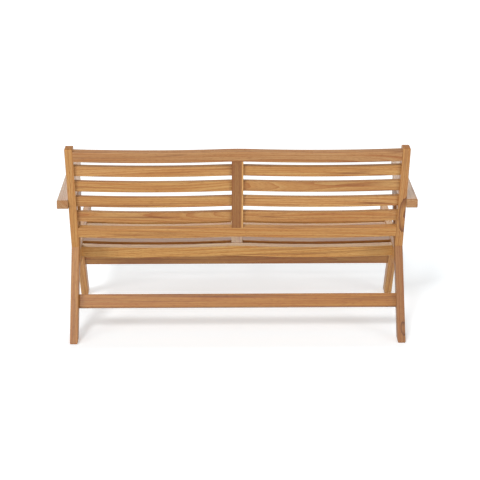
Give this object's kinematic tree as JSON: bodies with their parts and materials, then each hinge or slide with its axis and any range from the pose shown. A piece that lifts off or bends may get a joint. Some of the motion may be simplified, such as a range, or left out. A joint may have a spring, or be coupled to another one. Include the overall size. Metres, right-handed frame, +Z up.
{
  "type": "slatted wooden loveseat",
  "caption": "Two-seat slatted teak patio bench with splayed legs, flat arms, a leaning back and a dished seat.",
  "frame": {"origin": "on the floor, at the middle of the bench's width and depth", "axes": "+Z up, the seat faces -Y, +X toward the sitter's left along the width"},
  "size_m": [1.418, 0.83, 0.785],
  "materials": {
    "teak": "sanded and lightly oiled",
    "birch_dowel": "plain, grooved dowel stock",
    "zinc_steel": "zinc plated"
  },
  "bodies": {
    "root": {"left_rear_leg": "teak", "right_rear_leg": "teak", "left_back_post": "teak", "right_back_post": "teak", "left_front_leg": "teak", "right_front_leg": "teak", "left_seat_side_rail": "teak", "right_seat_side_rail": "teak", "left_armrest": "teak", "right_armrest": "teak", "top_rail": "teak", "lower_back_rail": "teak", "back_stile": "teak", "left_back_slat_1": "teak", "left_back_slat_2": "teak", "left_back_slat_3": "teak", "left_back_slat_4": "teak", "right_back_slat_1": "teak", "right_back_slat_2": "teak", "right_back_slat_3": "teak", "right_back_slat_4": "teak", "rear_seat_rail": "teak", "front_seat_rail": "teak", "seat_centre_bearer": "teak", "left_seat_slat_1": "teak", "left_seat_slat_2": "teak", "left_seat_slat_3": "teak", "left_seat_slat_4": "teak", "left_seat_slat_5": "teak", "right_seat_slat_1": "teak", "right_seat_slat_2": "teak", "right_seat_slat_3": "teak", "right_seat_slat_4": "teak", "right_seat_slat_5": "teak", "rear_stretcher": "teak", "front_stretcher": "teak", "frame_bolts": "zinc_steel", "frame_washers": "zinc_steel", "barrel_nuts": "zinc_steel", "rail_dowels": "birch_dowel", "frame_dowels": "birch_dowel", "arm_screws": "zinc_steel", "arm_plugs": "teak", "bearer_screw": "zinc_steel"}
  },
  "joints": []
}
